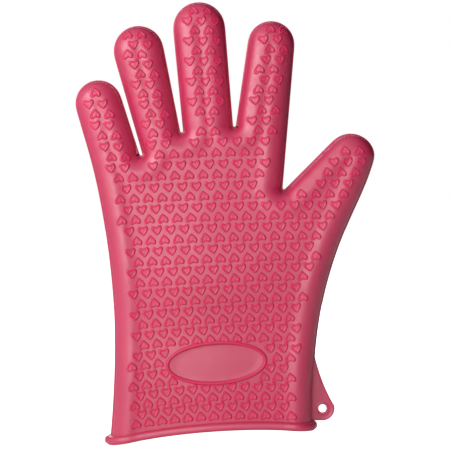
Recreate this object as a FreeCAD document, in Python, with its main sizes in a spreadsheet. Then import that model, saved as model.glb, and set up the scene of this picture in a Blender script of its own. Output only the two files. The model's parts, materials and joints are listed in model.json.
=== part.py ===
import FreeCAD, Part
import Sketcher
import math
import os

from FreeCAD import Placement, Rotation, Vector

# Five-finger silicone heat glove, moulded in one piece and split here at its flex lines.
# Millimetres. +Z runs from the cuff to the fingertips, +X towards the thumb, -Y is the front.
# The origin is the middle of the cuff's bottom edge, on the parting plane Y = 0.

# ---------------------------------------------------------------- driving dimensions

SHELL_SIZES = {
    "wall": (2.0, "rubber thickness"),
    "wrist_bend": (25.0, "degrees the cuff flexes each way"),
    "wrist_notch_depth": (22.0, "from the middle plane out past the skin"),
    "wrist_notch_half_width": (80.0, "half length of the wrist flex line"),
    "relief": (0.05, "half gap left between two zones at a flex line"),
    "notch_margin": (0.5, "degrees of spare angle on each side of a notch"),
}

# Outer sections of the flat hand: level, left edge, right edge, thickness.
# The left edge is stored as a distance from the middle, because it lies on the -X side.
SECTIONS = {
    "mouth": (-14.0, 63.2, 61.0, 31.0),
    "sleeve": (28.0, 59.2, 61.2, 30.0),
    "wrist": (62.0, 59.2, 62.4, 30.0),
    "heel": (86.0, 60.4, 68.0, 30.0),
    "ball": (104.0, 62.3, 74.0, 28.0),
    "thumb_line": (120.0, 64.9, 70.0, 26.0),
    "knuckle": (146.0, 70.0, 43.0, 24.0),
    "web": (165.0, 46.0, 43.5, 14.0),
}
CUFF_SECTIONS = ("mouth", "sleeve", "wrist")
PALM_SECTIONS = ("wrist", "heel", "ball", "thumb_line", "knuckle", "web")

CUFF_SIZES = {
    "arch_radius": (390.0, "radius of the arched bottom edge"),
    "arch_crown_x": (27.5, "where the arched edge is highest"),
    "arch_crown_level": (1.0, "height of the arched edge there"),
    "lip_height": (4.5, "height of the bead around the opening"),
    "lip_proud": (3.0, "how far the bead stands out"),
    "rim_x": (2.5, "middle of the oval rim"),
    "rim_level": (41.0, "height of the oval rim's middle"),
    "rim_half_length": (30.8, "oval rim, outer half length"),
    "rim_half_height": (13.4, "oval rim, outer half height"),
    "rim_width": (2.2, "width of the rim's band"),
    "rim_tilt": (3.6, "degrees the thumb end of the oval is raised"),
    "rim_proud": (0.8, "how far the rim stands out of the cuff"),
    "rim_sunk": (1.0, "how far the rim is rooted in the wall"),
}

TAB_SIZES = {
    "tab_root_x": (63.0, "straight edge of the tab, just outside the cuff"),
    "tab_thick": (2.5, "thickness of the tab"),
    "tab_top": (55.0, "height where the tab runs out"),
    "tab_hole_x": (67.6, "middle of the hanging hole"),
    "tab_hole_level": (11.6, "height of the hanging hole"),
    "tab_hole_radius": (2.5, "hanging hole"),
    "tab_end_radius": (7.4, "rounded end, about the hole's middle"),
    "tab_sweep_radius": (110.0, "hollow outer edge above the rounded end"),
}

HEART_SIZES = {
    "heart_width": (6.2, "across the two lobes"),
    "heart_height": (5.6, "from the lobes' tops to the point"),
    "heart_lobe_radius": (1.75, "radius of each lobe"),
    "heart_proud": (0.8, "how far a heart stands out"),
    "heart_sunk": (1.0, "how far a heart is rooted in the wall"),
    "heart_edge_margin": (12.4, "least distance from a heart's middle to the glove's edge"),
    "heart_notch_margin": (3.2, "least distance from a heart's middle to a flex notch"),
    "heart_rim_margin": (3.6, "least distance from a heart's middle to the oval rim"),
    "finger_depth_share": (0.55, "hearts on a finger sit where it has this share of its full depth"),
    "stub_depth_share": (0.83, "the same for lattice hearts on the fingers' stubs"),
}

# Each finger: its lean from vertical in degrees (thumb side positive), the middle of its round
# tip, the tip's radius, and distances down its axis from that middle to its flex lines.
FINGER_KEYS = ("lean", "tip_x", "tip_level", "tip_radius", "root_half", "tail_half", "depth_half",
               "tip_flex", "middle_flex", "root_flex", "tail")
FINGERS = {
    "little_finger": (-17.0, -70.1, 199.2, 13.9, 14.4, 14.4, 11.0, 6.0, 22.0, 38.0, 70.0),
    "ring_finger": (-13.3, -45.5, 231.5, 15.0, 13.5, 13.5, 11.0, 11.0, 33.0, 54.5, 95.0),
    "middle_finger": (-4.8, -8.3, 245.5, 15.6, 15.1, 15.1, 11.0, 12.0, 37.0, 61.5, 100.0),
    "index_finger": (6.3, 36.0, 235.5, 14.0, 15.6, 16.0, 11.0, 11.0, 32.0, 52.5, 95.0),
    "thumb": (35.0, 84.9, 165.5, 14.8, 21.6, 29.5, 11.5, 13.0, 13.0, 37.5, 75.0),
}
FLEX_SIZES = {
    "flex_depth": (6.5, "how far a finger's flex line lies behind its front skin"),
    "notch_half_width": (30.0, "half length of a finger's flex line"),
    "root_bend": (50.0, "degrees a finger's root flexes forward"),
    "middle_bend": (55.0, "degrees the middle knuckle flexes forward"),
    "tip_bend": (35.0, "degrees the tip knuckle flexes forward"),
    "back_bend": (10.0, "degrees each of them gives backward"),
    "keep_radius": (60.0, "radius of the trimming cylinders"),
    "trim_length": (140.0, "length of the trimming cylinders"),
}

# Lattice of the hearts. Pair rows are an upright row and an inverted row just below it.
LATTICE_SIZES = {
    "top_row_level": (174.4, "upright row nearest the finger roots"),
    "pair_pitch": (13.23, "drop from the first pair row to the second"),
    "pair_pitch_loss": (0.154, "how much each further drop is smaller"),
    "inverted_share": (0.45, "an inverted row lies this share of the drop lower"),
    "column_pitch_at_cuff": (7.765, "heart spacing at level zero"),
    "column_pitch_gain": (0.00483, "growth of the spacing per mm of height"),
    "column_x_at_cuff": (4.9, "the middle column at level zero"),
    "column_lean": (-0.0425, "drift of the middle column per mm of height"),
    "row_slope_high": (0.031, "rise of the upper rows towards the thumb"),
    "row_slope_low": (0.056, "rise of the lower rows towards the thumb"),
    "slope_high_level": (125.0, "rows above this have the upper slope"),
    "slope_low_level": (70.0, "rows below this have the lower slope"),
    "row_arch_high": (0.0002, "arch of the upper rows, per mm"),
    "row_arch_low": (0.0012, "arch of the lower rows, per mm"),
    "arch_high_level": (90.0, "rows above this have the upper arch"),
    "arch_low_level": (30.0, "rows below this have the lower arch"),
    "cuff_row_limit": (47.5, "hearts on the cuff stay left of this"),
}
ROWS = 14
COLUMNS = 8

# Heart rows on the fingers, from the tip down: the first row's level, the pitch of two rows of
# a kind, and for each row the shift of its middle from the finger's axis and its heart count.
# Rows alternate, and the first row is an inverted one.
FINGER_ROWS = {
    "little_finger": (204.7, 12.97, ((0.0, 1), (-1.9, 2), (0.2, 2), (-1.9, 2), (0.3, 2), (-0.2, 2), (2.1, 2))),
    "ring_finger": (240.1, 12.0, ((-1.0, 2), (1.4, 2), (-3.4, 2), (-0.9, 2), (1.4, 2), (-2.6, 2), (0.3, 2),
                                  (-0.6, 2), (2.0, 2), (-2.2, 2), (0.6, 2))),
    "middle_finger": (254.9, 12.25, ((0.9, 2), (1.2, 3), (0.9, 2), (1.0, 3), (0.9, 2), (0.6, 3), (0.6, 2),
                                     (0.5, 3), (0.4, 2), (0.1, 3), (0.0, 2), (-0.3, 3), (-0.4, 2))),
    "index_finger": (243.6, 12.3, ((2.5, 2), (-0.6, 2), (3.5, 2), (2.2, 2), (-1.3, 2), (2.8, 2), (-0.6, 2),
                                   (-1.8, 2), (2.6, 2), (-2.2, 2), (2.0, 2))),
    "thumb": (169.8, 12.9, ((0.0, 2), (0.0, 3), (0.4, 3), (0.0, 3), (-2.5, 4))),
}

# ---------------------------------------------------------------- document and spreadsheet

doc = FreeCAD.newDocument("silicone_glove")
sheet = doc.addObject("Spreadsheet::Sheet", "Sizes")


def all_sizes():
    sizes = {}
    for table in (SHELL_SIZES, CUFF_SIZES, TAB_SIZES, HEART_SIZES, FLEX_SIZES, LATTICE_SIZES):
        sizes.update(table)
    for name, (level, left, right, thick) in SECTIONS.items():
        sizes[f"{name}_level"] = (level, f"height of the {name} section")
        sizes[f"{name}_left"] = (left, f"left half width of the {name} section")
        sizes[f"{name}_right"] = (right, f"right half width of the {name} section")
        sizes[f"{name}_thick"] = (thick, f"thickness of the {name} section")
    for finger, values in FINGERS.items():
        for key, value in zip(FINGER_KEYS, values):
            sizes[f"{finger}_{key}"] = (value, f"{finger} {key}".replace("_", " "))
    return sizes


def fill_sheet():
    for row, (alias, (value, meaning)) in enumerate(all_sizes().items(), start=1):
        sheet.set(f"A{row}", alias)
        sheet.set(f"B{row}", str(value))
        sheet.set(f"C{row}", meaning)
        sheet.setAlias(f"B{row}", alias)
    doc.recompute()


def size(alias):
    return float(sheet.get(alias))


def bind(item, **expressions):
    for prop, expression in expressions.items():
        item.setExpression(prop, expression)
    return item


def mix(low, high, share):
    """Between low and high; a share below 0 or above 1 stays at that end."""
    return low + (high - low) * min(1.0, max(0.0, share))


def turned(x, y, z, lean):
    """Expression for a placement at (x, y, z) whose local Z leans towards +X by `lean` degrees."""
    return f"placement(vector({x}; {y}; {z}); rotation(vector(0; 1; 0); {lean}))"


# ---------------------------------------------------------------- helpers for solids

def boolean(kind, name, base, tool):
    result = doc.addObject(kind, name)
    result.Base = base
    result.Tool = tool
    return result


def cut(name, base, tool):
    return boolean("Part::Cut", name, base, tool)


def common(name, base, tool):
    return boolean("Part::Common", name, base, tool)


def union(name, shapes):
    result = doc.addObject("Part::MultiFuse", name)
    result.Shapes = shapes
    return result


def origin_plane(body, role):
    return next(plane for plane in body.Origin.OriginFeatures if plane.Role == role)


def stadium_sketch(body, section, inset, raise_by):
    """A flat oval across the hand: two straight faces joined by half circles, `inset` inside the skin."""
    sketch = body.newObject("Sketcher::SketchObject", f"{body.Name}_{section}")
    sketch.AttachmentSupport = (origin_plane(body, "XY_Plane"), [""])
    sketch.MapMode = "FlatFace"
    radius = size(f"{section}_thick") / 2
    left = radius - size(f"{section}_left")
    right = size(f"{section}_right") - radius
    up = Vector(0, 0, 1)
    quarter = math.pi / 2
    front = Part.LineSegment(Vector(left, -radius, 0), Vector(right, -radius, 0))
    thumb_side = Part.ArcOfCircle(Part.Circle(Vector(right, 0, 0), up, radius), -quarter, quarter)
    back = Part.LineSegment(Vector(right, radius, 0), Vector(left, radius, 0))
    far_side = Part.ArcOfCircle(Part.Circle(Vector(left, 0, 0), up, radius), quarter, 3 * quarter)
    for edge in (front, thumb_side, back, far_side):
        sketch.addGeometry(edge, False)
    start, end, centre = 1, 2, 3
    sketch.addConstraint([
        Sketcher.Constraint("Tangent", 0, end, 1, start),
        Sketcher.Constraint("Tangent", 1, end, 2, start),
        Sketcher.Constraint("Tangent", 2, end, 3, start),
        Sketcher.Constraint("Tangent", 3, end, 0, start),
        Sketcher.Constraint("Horizontal", 0),
        Sketcher.Constraint("PointOnObject", 1, centre, -1),
        Sketcher.Constraint("PointOnObject", 3, centre, -1),
        Sketcher.Constraint("Radius", 1, radius),
        Sketcher.Constraint("DistanceX", -1, 1, 1, centre, right),
        Sketcher.Constraint("DistanceX", 3, centre, -1, 1, -left),
    ])
    for index, name in ((7, "edge_radius"), (8, "right_centre"), (9, "left_centre")):
        sketch.renameConstraint(index, name)
    half = f"Sizes.{section}_thick / 2"
    sketch.setExpression("Constraints.edge_radius", f"{half} - ({inset})")
    sketch.setExpression("Constraints.right_centre", f"Sizes.{section}_right - {half}")
    sketch.setExpression("Constraints.left_centre", f"Sizes.{section}_left - {half}")
    sketch.setExpression("AttachmentOffset.Base.z", f"Sizes.{section}_level + ({raise_by})")
    return sketch


def flat_sleeve(name, sections, inset="0", raise_by="0"):
    """Solid through the flat oval sections, from the lowest to the highest."""
    body = doc.addObject("PartDesign::Body", name)
    sketches = [stadium_sketch(body, section, inset, raise_by) for section in sections]
    loft = body.newObject("PartDesign::AdditiveLoft", f"{name}_loft")
    loft.Profile = sketches[0]
    loft.Sections = sketches[1:]
    loft.Ruled = True
    return body


def trimming_cylinder(name, placement, length):
    """Wide cylinder that keeps or removes everything on one side of a flex line."""
    cylinder = doc.addObject("Part::Cylinder", name)
    return bind(cylinder, Radius="Sizes.keep_radius", Height=length, Placement=placement)


def wedge(name, placement, half_length, depth, angle, forward):
    """Wedge along local X whose thin edge lies on the flex line and which opens forward or back."""
    notch = doc.addObject("Part::Wedge", name)
    wide = f"({depth}) * tan({angle}) + Sizes.relief"
    thin = "Sizes.relief"
    near, far = (wide, thin) if forward else (thin, wide)
    bind(notch, Xmin=f"-{half_length}", X2min=f"-{half_length}", Xmax=half_length, X2max=half_length)
    bind(notch, Zmin=f"-({near})", Zmax=near, Z2min=f"-({far})", Z2max=far)
    bind(notch, Ymin=f"-({depth})" if forward else "0", Ymax="0" if forward else depth)
    return bind(notch, Placement=placement)


# ---------------------------------------------------------------- fingers

class Finger:
    """Expressions for the places along one finger. `reach` is a distance down its axis from the tip."""

    def __init__(self, name):
        self.name = name
        self.lean = f"Sizes.{name}_lean"

    def cell(self, key):
        return f"Sizes.{self.name}_{key}"

    def at(self, reach, y="0"):
        x = f"{self.cell('tip_x')} - ({reach}) * sin({self.lean})"
        z = f"{self.cell('tip_level')} - ({reach}) * cos({self.lean})"
        return turned(x, y, z, self.lean)

    def flex_line(self, joint):
        return self.at(self.cell(f"{joint}_flex"), f"Sizes.flex_depth - {self.cell('depth_half')}")


def finger_section(finger, part, reach, half, inset):
    ellipse = doc.addObject("Part::Ellipse", f"{finger.name}_{part}")
    return bind(
        ellipse,
        MajorRadius=f"{finger.cell(half)} - {inset}",
        MinorRadius=f"{finger.cell('depth_half')} - {inset}",
        Placement=finger.at(reach),
    )


def finger_form(finger, kind, inset):
    """Solid finger from deep inside the palm to its domed tip, `inset` inside the skin."""
    places = (("tail", finger.cell("tail"), "tail_half"), ("root", finger.cell("root_flex"), "root_half"),
              ("tip", "0", "tip_radius"))
    tube = doc.addObject("Part::Loft", f"{finger.name}_{kind}_tube")
    tube.Sections = [finger_section(finger, f"{kind}_{part}", reach, half, inset) for part, reach, half in places]
    tube.Solid = True
    tube.Ruled = True
    dome = doc.addObject("Part::Ellipsoid", f"{finger.name}_{kind}_dome")
    round_radius = f"{finger.cell('tip_radius')} - {inset}"
    bind(dome, Radius1=round_radius, Radius2=round_radius, Placement=finger.at("0"))
    bind(dome, Radius3=f"{finger.cell('depth_half')} - {inset}")
    return union(f"{finger.name}_{kind}", [tube, dome])


def finger_notch(finger, joint):
    """Room for a finger to flex forward by the joint's bend, and a little backward."""
    place = finger.flex_line(joint)
    front = wedge(
        f"{finger.name}_{joint}_front_notch", place, "Sizes.notch_half_width", "2 * Sizes.flex_depth",
        f"Sizes.{joint}_bend / 2 + Sizes.notch_margin", forward=True,
    )
    back = wedge(
        f"{finger.name}_{joint}_back_notch", place, "Sizes.notch_half_width",
        f"2 * {finger.cell('depth_half')}", "Sizes.back_bend / 2 + Sizes.notch_margin", forward=False,
    )
    return union(f"{finger.name}_{joint}_notch", [front, back])


def finger_zone(finger, tube, zone, low, high, notches):
    """The stretch of the finger's tube between two reaches, with its flex notches cut away."""
    keep = trimming_cylinder(f"{finger.name}_{zone}_keep", finger.at(low), f"({low}) - ({high})")
    stretch = common(f"{finger.name}_{zone}_stretch", tube, keep)
    tool = union(f"{finger.name}_{zone}_notches", notches) if len(notches) > 1 else notches[0]
    shell = cut(f"{finger.name}_{zone}_shell", stretch, tool)
    shell.Label = f"{finger.name}_{zone}"
    return shell


def build_finger(name):
    """Returns the finger's movable shells, its stub on the palm and its hollow."""
    finger = Finger(name)
    skin = finger_form(finger, "skin", "0")
    hollow = finger_form(finger, "hollow", "Sizes.wall")
    tube = cut(f"{name}_tube", skin, hollow)
    beyond_tip = "-Sizes.keep_radius"
    joints = ["root", "tip"] if name == "thumb" else ["root", "middle", "tip"]
    zones = ["base", "tip"] if name == "thumb" else ["base", "middle", "tip"]
    notches = {joint: finger_notch(finger, joint) for joint in joints}
    ends = [finger.cell(f"{joint}_flex") for joint in joints] + [beyond_tip]
    shells = {}
    for index, zone in enumerate(zones):
        cutters = [notches[joint] for joint in joints[index:index + 2]]
        shells[zone] = finger_zone(finger, tube, zone, ends[index], ends[index + 1], cutters)
    deep = f"{finger.cell('root_flex')} + Sizes.trim_length"
    below = trimming_cylinder(f"{name}_below_root", finger.at(deep), "Sizes.trim_length")
    stub = cut(f"{name}_stub", common(f"{name}_stub_form", skin, below), notches["root"])
    return shells, stub, hollow


# ---------------------------------------------------------------- palm and cuff

def wrist_notch():
    place = turned("0", "0", "Sizes.wrist_level", "0")
    angle = "Sizes.wrist_bend / 2 + Sizes.notch_margin"
    sides = [
        wedge(f"wrist_notch_{word}", place, "Sizes.wrist_notch_half_width", "Sizes.wrist_notch_depth",
              angle, forward)
        for word, forward in (("front", True), ("back", False))
    ]
    return union("wrist_notch", sides)


def build_palm(stubs, hollows, notch):
    """The hand part. Its hollow is lowered by one wall, so it opens at the wrist and closes at the top."""
    shell = union("palm_form", [flat_sleeve("palm_slab", PALM_SECTIONS)] + stubs)
    cavity = flat_sleeve("palm_cavity", PALM_SECTIONS, "Sizes.wall", "-Sizes.wall")
    for waste in hollows + [cavity, notch]:
        shell = cut(f"palm_without_{waste.Name}", shell, waste)
    shell.Label = "palm_shell"
    return shell


def arch_cylinder(name, grow):
    """Huge cylinder along Y whose top is the cuff's arched bottom edge, raised by `grow`."""
    cylinder = doc.addObject("Part::Cylinder", name)
    bind(cylinder, Radius=f"Sizes.arch_radius + {grow}", Height="4 * Sizes.mouth_thick")
    middle = "Sizes.arch_crown_x; 2 * Sizes.mouth_thick; Sizes.arch_crown_level - Sizes.arch_radius"
    return bind(cylinder, Placement=f"placement(vector({middle}); rotation(vector(1; 0; 0); 90))")


def build_cuff(notch):
    """Returns the cuff's shell and the bead around its opening. The raised hollow opens both ends."""
    skin = flat_sleeve("cuff_skin", CUFF_SECTIONS)
    cavity = flat_sleeve("cuff_cavity", CUFF_SECTIONS, "Sizes.wall", "Sizes.wall")
    arch = arch_cylinder("cuff_arch", "0")
    shell = skin
    for waste in (cavity, arch, notch):
        shell = cut(f"cuff_without_{waste.Name}", shell, waste)
    shell.Label = "cuff_shell"
    collar = flat_sleeve("lip_collar", CUFF_SECTIONS[:2], "-Sizes.lip_proud")
    band = common("lip_band", collar, arch_cylinder("lip_arch", "Sizes.lip_height"))
    lip = cut("lip", cut("lip_ring", band, skin), arch)
    lip.Label = "cuff_lip"
    return shell, lip


def rim_oval(name, inset):
    """Upright elliptical disc through the front wall at the blank plate."""
    ellipse = doc.addObject("Part::Ellipse", f"{name}_edge")
    bind(
        ellipse,
        MajorRadius=f"Sizes.rim_half_length - {inset}",
        MinorRadius=f"Sizes.rim_half_height - {inset}",
        Placement="placement(vector(Sizes.rim_x; Sizes.rim_sunk - Sizes.sleeve_thick / 2; Sizes.rim_level);"
                  " rotation(vector(0; 1; 0); -Sizes.rim_tilt) * rotation(vector(1; 0; 0); 90))",
    )
    disc = doc.addObject("Part::Extrusion", name)
    disc.Base = ellipse
    disc.DirMode = "Custom"
    disc.Dir = Vector(0, -1, 0)
    disc.Solid = True
    return bind(disc, LengthFwd="Sizes.rim_sunk + Sizes.rim_proud")


def build_rim():
    rim = cut("rim", rim_oval("rim_outer", "0"), rim_oval("rim_inner", "Sizes.rim_width"))
    rim.Label = "label_rim"
    return rim


def build_tab():
    """Flat tab on the parting plane: a hollow-edged blade ending in a round eye with a hole."""
    body = doc.addObject("PartDesign::Body", "tab")
    body.Label = "hanging_tab"
    sketch = body.newObject("Sketcher::SketchObject", "tab_outline")
    sketch.AttachmentSupport = (origin_plane(body, "XZ_Plane"), [""])
    sketch.MapMode = "FlatFace"
    root_x, top = size("tab_root_x"), size("tab_top")
    eye = Vector(size("tab_hole_x"), size("tab_hole_level"), 0)
    end_radius, sweep = size("tab_end_radius"), size("tab_sweep_radius")
    upper = Vector(root_x, top, 0)
    # The hollow edge touches the round end, so its centre, the eye and the contact lie on one line.
    span = (upper - eye).Length
    toward_top = math.atan2(upper.y - eye.y, upper.x - eye.x)
    spread = math.acos((span**2 + (sweep + end_radius)**2 - sweep**2) / (2 * span * (sweep + end_radius)))
    contact_angle = toward_top - spread
    contact = eye + Vector(math.cos(contact_angle), math.sin(contact_angle), 0) * end_radius
    hollow_centre = eye + Vector(math.cos(contact_angle), math.sin(contact_angle), 0) * (end_radius + sweep)
    heel = Vector(eye.x, eye.y - end_radius, 0)
    corner = Vector(root_x, heel.y, 0)
    round_end = Part.ArcOfCircle(Part.Circle(eye, Vector(0, 0, 1), end_radius), -math.pi / 2, contact_angle)
    to_upper = math.atan2(upper.y - hollow_centre.y, upper.x - hollow_centre.x) % (2 * math.pi)
    to_contact = (contact_angle + math.pi) % (2 * math.pi)
    hollow_edge = Part.ArcOfCircle(Part.Circle(hollow_centre, Vector(0, 0, 1), sweep), to_upper, to_contact)
    hole = Part.Circle(eye, Vector(0, 0, 1), size("tab_hole_radius"))
    edges = (Part.LineSegment(upper, corner), Part.LineSegment(corner, heel), round_end, hollow_edge, hole)
    for edge in edges:
        sketch.addGeometry(edge, False)
    start, end, centre = 1, 2, 3
    sketch.addConstraint([
        Sketcher.Constraint("Coincident", 0, end, 1, start),
        Sketcher.Constraint("Tangent", 1, end, 2, start),
        Sketcher.Constraint("Tangent", 2, end, 3, end),
        Sketcher.Constraint("Coincident", 3, start, 0, start),
        Sketcher.Constraint("Vertical", 0),
        Sketcher.Constraint("Horizontal", 1),
        Sketcher.Constraint("Coincident", 4, centre, 2, centre),
        Sketcher.Constraint("DistanceX", -1, 1, 4, centre, eye.x),
        Sketcher.Constraint("DistanceY", -1, 1, 4, centre, eye.y),
        Sketcher.Constraint("Radius", 4, size("tab_hole_radius")),
        Sketcher.Constraint("Radius", 2, end_radius),
        Sketcher.Constraint("Radius", 3, sweep),
        Sketcher.Constraint("DistanceX", -1, 1, 0, start, root_x),
        Sketcher.Constraint("DistanceY", -1, 1, 0, start, top),
    ])
    cells = ("tab_hole_x", "tab_hole_level", "tab_hole_radius", "tab_end_radius", "tab_sweep_radius",
             "tab_root_x", "tab_top")
    for index, cell in enumerate(cells, start=7):
        sketch.renameConstraint(index, cell)
        sketch.setExpression(f"Constraints.{cell}", f"Sizes.{cell}")
    pad = body.newObject("PartDesign::Pad", "tab_pad")
    pad.Profile = sketch
    pad.SideType = "Symmetric"
    bind(pad, Length="Sizes.tab_thick")
    return body


# ---------------------------------------------------------------- raised hearts

def heart_solid():
    """One heart lying in the XZ plane around the origin, raised towards -Y and rooted towards +Y."""
    radius = size("heart_lobe_radius")
    side = size("heart_width") / 2 - radius
    half_height = size("heart_height") / 2
    lobe_level = half_height - radius
    proud, sunk = size("heart_proud"), size("heart_sunk")
    point = Vector(0, sunk, -half_height)
    notch = Vector(0, sunk, lobe_level + math.sqrt(radius**2 - side**2))
    edges = []
    for hand in (1, -1):
        lobe = Vector(hand * side, sunk, lobe_level)
        reach = math.hypot(side, lobe_level + half_height)
        lean = math.atan2(side, lobe_level + half_height)
        tangent_angle = lean + math.acos(radius / reach) - math.pi / 2
        tangent = lobe + Vector(hand * math.cos(tangent_angle), 0, -math.sin(tangent_angle)) * radius
        outer_angle = math.radians(45)
        outer = lobe + Vector(hand * math.cos(outer_angle), 0, math.sin(outer_angle)) * radius
        edges.append(Part.makeLine(point, tangent))
        edges.append(Part.Arc(tangent, outer, notch).toShape())
    face = Part.Face(Part.Wire(Part.__sortEdges__(edges)))
    return face.extrude(Vector(0, -(sunk + proud), 0))


def lattice_points():
    """Middles of the palm and cuff hearts as (x, level, is_upright, row's slope in degrees)."""
    points = []
    level = size("top_row_level")
    for row in range(ROWS):
        drop = size("pair_pitch") - size("pair_pitch_loss") * row
        for upright in (True, False):
            row_level = level if upright else level - size("inverted_share") * drop
            points += lattice_row(row_level, upright)
        level -= drop
    return points


def lattice_row(row_level, upright):
    pitch = size("column_pitch_at_cuff") + size("column_pitch_gain") * row_level
    middle = size("column_x_at_cuff") + size("column_lean") * row_level
    slope, arch = (
        mix(size(f"row_{kind}_low"), size(f"row_{kind}_high"),
            (row_level - size(f"{kind}_low_level")) / (size(f"{kind}_high_level") - size(f"{kind}_low_level")))
        for kind in ("slope", "arch")
    )
    points = []
    for column in range(-COLUMNS, COLUMNS + 1):
        x = middle + pitch * (column + (0.0 if upright else 0.5))
        points.append((x, row_level + slope * x - arch * x**2, upright, slope))
    return points


def finger_points(name):
    """Middles of one finger's hearts, in the same form as the lattice's."""
    top_level, pitch, rows = FINGER_ROWS[name]
    lean = math.radians(size(f"{name}_lean"))
    spacing = size("column_pitch_at_cuff") + size("column_pitch_gain") * size("web_level")
    points = []
    for row, (shift, count) in enumerate(rows):
        level = top_level - pitch * row / 2
        axis_x = size(f"{name}_tip_x") - (size(f"{name}_tip_level") - level) * math.tan(lean)
        for index in range(count):
            x = axis_x + shift + spacing * (index - (count - 1) / 2)
            points.append((x, level, row % 2 == 1, size("row_slope_high")))
    return points


def section_at(level):
    """Left edge, right edge and half thickness of the flat hand at a level."""
    names = [CUFF_SECTIONS[0], CUFF_SECTIONS[1]] + list(PALM_SECTIONS)
    for low, high in zip(names, names[1:]):
        bottom, top = size(f"{low}_level"), size(f"{high}_level")
        if level <= top:
            break
    share = (level - bottom) / (top - bottom)
    left, right, thick = (
        mix(size(f"{low}_{key}"), size(f"{high}_{key}"), share) for key in ("left", "right", "thick")
    )
    return -left, right, thick / 2


def finger_frame(name, x, level):
    """Distance down from the tip's middle, offset towards the thumb side, and the two directions."""
    lean = math.radians(size(f"{name}_lean"))
    along = Vector(math.sin(lean), 0, math.cos(lean))
    across = Vector(math.cos(lean), 0, -math.sin(lean))
    offset = Vector(x - size(f"{name}_tip_x"), 0, level - size(f"{name}_tip_level"))
    return -offset.dot(along), offset.dot(across), along, across


def half_width(name, reach):
    """Half width of a finger at a distance down its axis."""
    root, tail = size(f"{name}_root_flex"), size(f"{name}_tail")
    root_half = size(f"{name}_root_half")
    if reach < root:
        return mix(size(f"{name}_tip_radius"), root_half, reach / root)
    return mix(root_half, size(f"{name}_tail_half"), (reach - root) / (tail - root))


def finger_surface(name, x, level, depth_share):
    """Depth and outward direction of the finger's front skin, or None near its sides."""
    reach, offset, along, across = finger_frame(name, x, level)
    depth_half = size(f"{name}_depth_half")
    tip_radius = size(f"{name}_tip_radius")
    half = half_width(name, reach)
    rise = max(0.0, -reach)
    inside = 1 - (offset / half)**2 - (rise / tip_radius)**2
    if inside < depth_share**2:
        return None
    depth = depth_half * math.sqrt(inside)
    outward = Vector(0, -depth / depth_half**2, 0)
    outward += across * (offset / half**2) + along * (rise / tip_radius**2)
    return depth, outward.normalize()


def placed_heart(heart, x, level, upright, slope, depth, outward):
    """A copy of the heart on the front skin, turned to face outward."""
    copy = heart.copy()
    roll = Rotation(Vector(0, 1, 0), (0 if upright else 180) - math.degrees(slope))
    tip_over = Rotation(Vector(0, -1, 0), outward)
    copy.Placement = Placement(Vector(x, -depth, level), tip_over.multiply(roll))
    return copy


def clear_of_rim(x, level):
    """True when a heart's middle is far enough outside the oval rim."""
    tilt = math.radians(size("rim_tilt"))
    right, up = x - size("rim_x"), level - size("rim_level")
    along = right * math.cos(tilt) + up * math.sin(tilt)
    across = up * math.cos(tilt) - right * math.sin(tilt)
    margin = size("heart_rim_margin")
    return (along / (size("rim_half_length") + margin))**2 + (across / (size("rim_half_height") + margin))**2 > 1


def notch_gap(joint):
    """How far from a finger's flex line a heart's middle has to stay."""
    return size("flex_depth") * math.tan(math.radians(size(f"{joint}_bend") / 2)) + size("heart_notch_margin")


def flat_surface(x, level):
    """Depth and outward direction of the flat hand's front skin, or None near its edges."""
    left, right, depth = section_at(level)
    margin = size("heart_edge_margin")
    limit = size("cuff_row_limit") if level < size("wrist_level") else right - margin
    if left + margin < x < limit and level < size("knuckle_level"):
        return depth, Vector(0, -1, 0)
    return None


def hand_surface(x, level):
    """The same for the flat hand with the fingers' stubs. None above a finger's root, too."""
    surfaces = [flat_surface(x, level)]
    for name in FINGERS:
        reach, offset = finger_frame(name, x, level)[:2]
        beside = abs(offset) > half_width(name, reach) + size("heart_notch_margin")
        if beside:
            continue
        if reach < size(f"{name}_root_flex") + notch_gap("root"):
            return None
        surfaces.append(finger_surface(name, x, level, size("stub_depth_share")))
    surfaces = [surface for surface in surfaces if surface]
    return max(surfaces, key=lambda surface: surface[0]) if surfaces else None


def hand_hearts(heart, with_rim):
    """Hearts on one face of the palm and of the cuff, drawn on the front."""
    palm, cuff = [], []
    wrist = size("wrist_level")
    gap = size("wrist_thick") / 2 * math.tan(math.radians(size("wrist_bend") / 2)) + size("heart_notch_margin")
    for x, level, upright, slope in lattice_points():
        surface = hand_surface(x, level)
        under_rim = with_rim and not clear_of_rim(x, level)
        if surface is None or under_rim or abs(level - wrist) < gap:
            continue
        group = cuff if level < wrist else palm
        group.append(placed_heart(heart, x, level, upright, slope, *surface))
    return palm, cuff


def zone_of(name, reach):
    """The finger zone at a reach, or None in a flex notch."""
    joints = ["tip", "root"] if name == "thumb" else ["tip", "middle", "root"]
    zones = ["tip", "base", "palm"] if name == "thumb" else ["tip", "middle", "base", "palm"]
    for joint, zone in zip(joints, zones):
        line = size(f"{name}_{joint}_flex")
        if abs(reach - line) < notch_gap(joint):
            return None
        if reach < line:
            return zone
    return zones[-1]


def finger_hearts(heart, name):
    """Front hearts of one finger by zone; those below its root belong to the palm."""
    zones = {}
    for x, level, upright, slope in finger_points(name):
        reach = finger_frame(name, x, level)[0]
        zone = zone_of(name, reach)
        surface = finger_surface(name, x, level, size("finger_depth_share"))
        if zone and surface:
            zones.setdefault(zone, []).append(placed_heart(heart, x, level, upright, slope, *surface))
    return zones


def mirrored(solids):
    return [solid.mirror(Vector(0, 0, 0), Vector(0, 1, 0)) for solid in solids]


def heart_group(label, solids):
    group = doc.addObject("Part::Feature", f"{label}_group")
    group.Shape = Part.makeCompound(solids)
    group.Placement = Placement()
    group.Label = label
    return group


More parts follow.
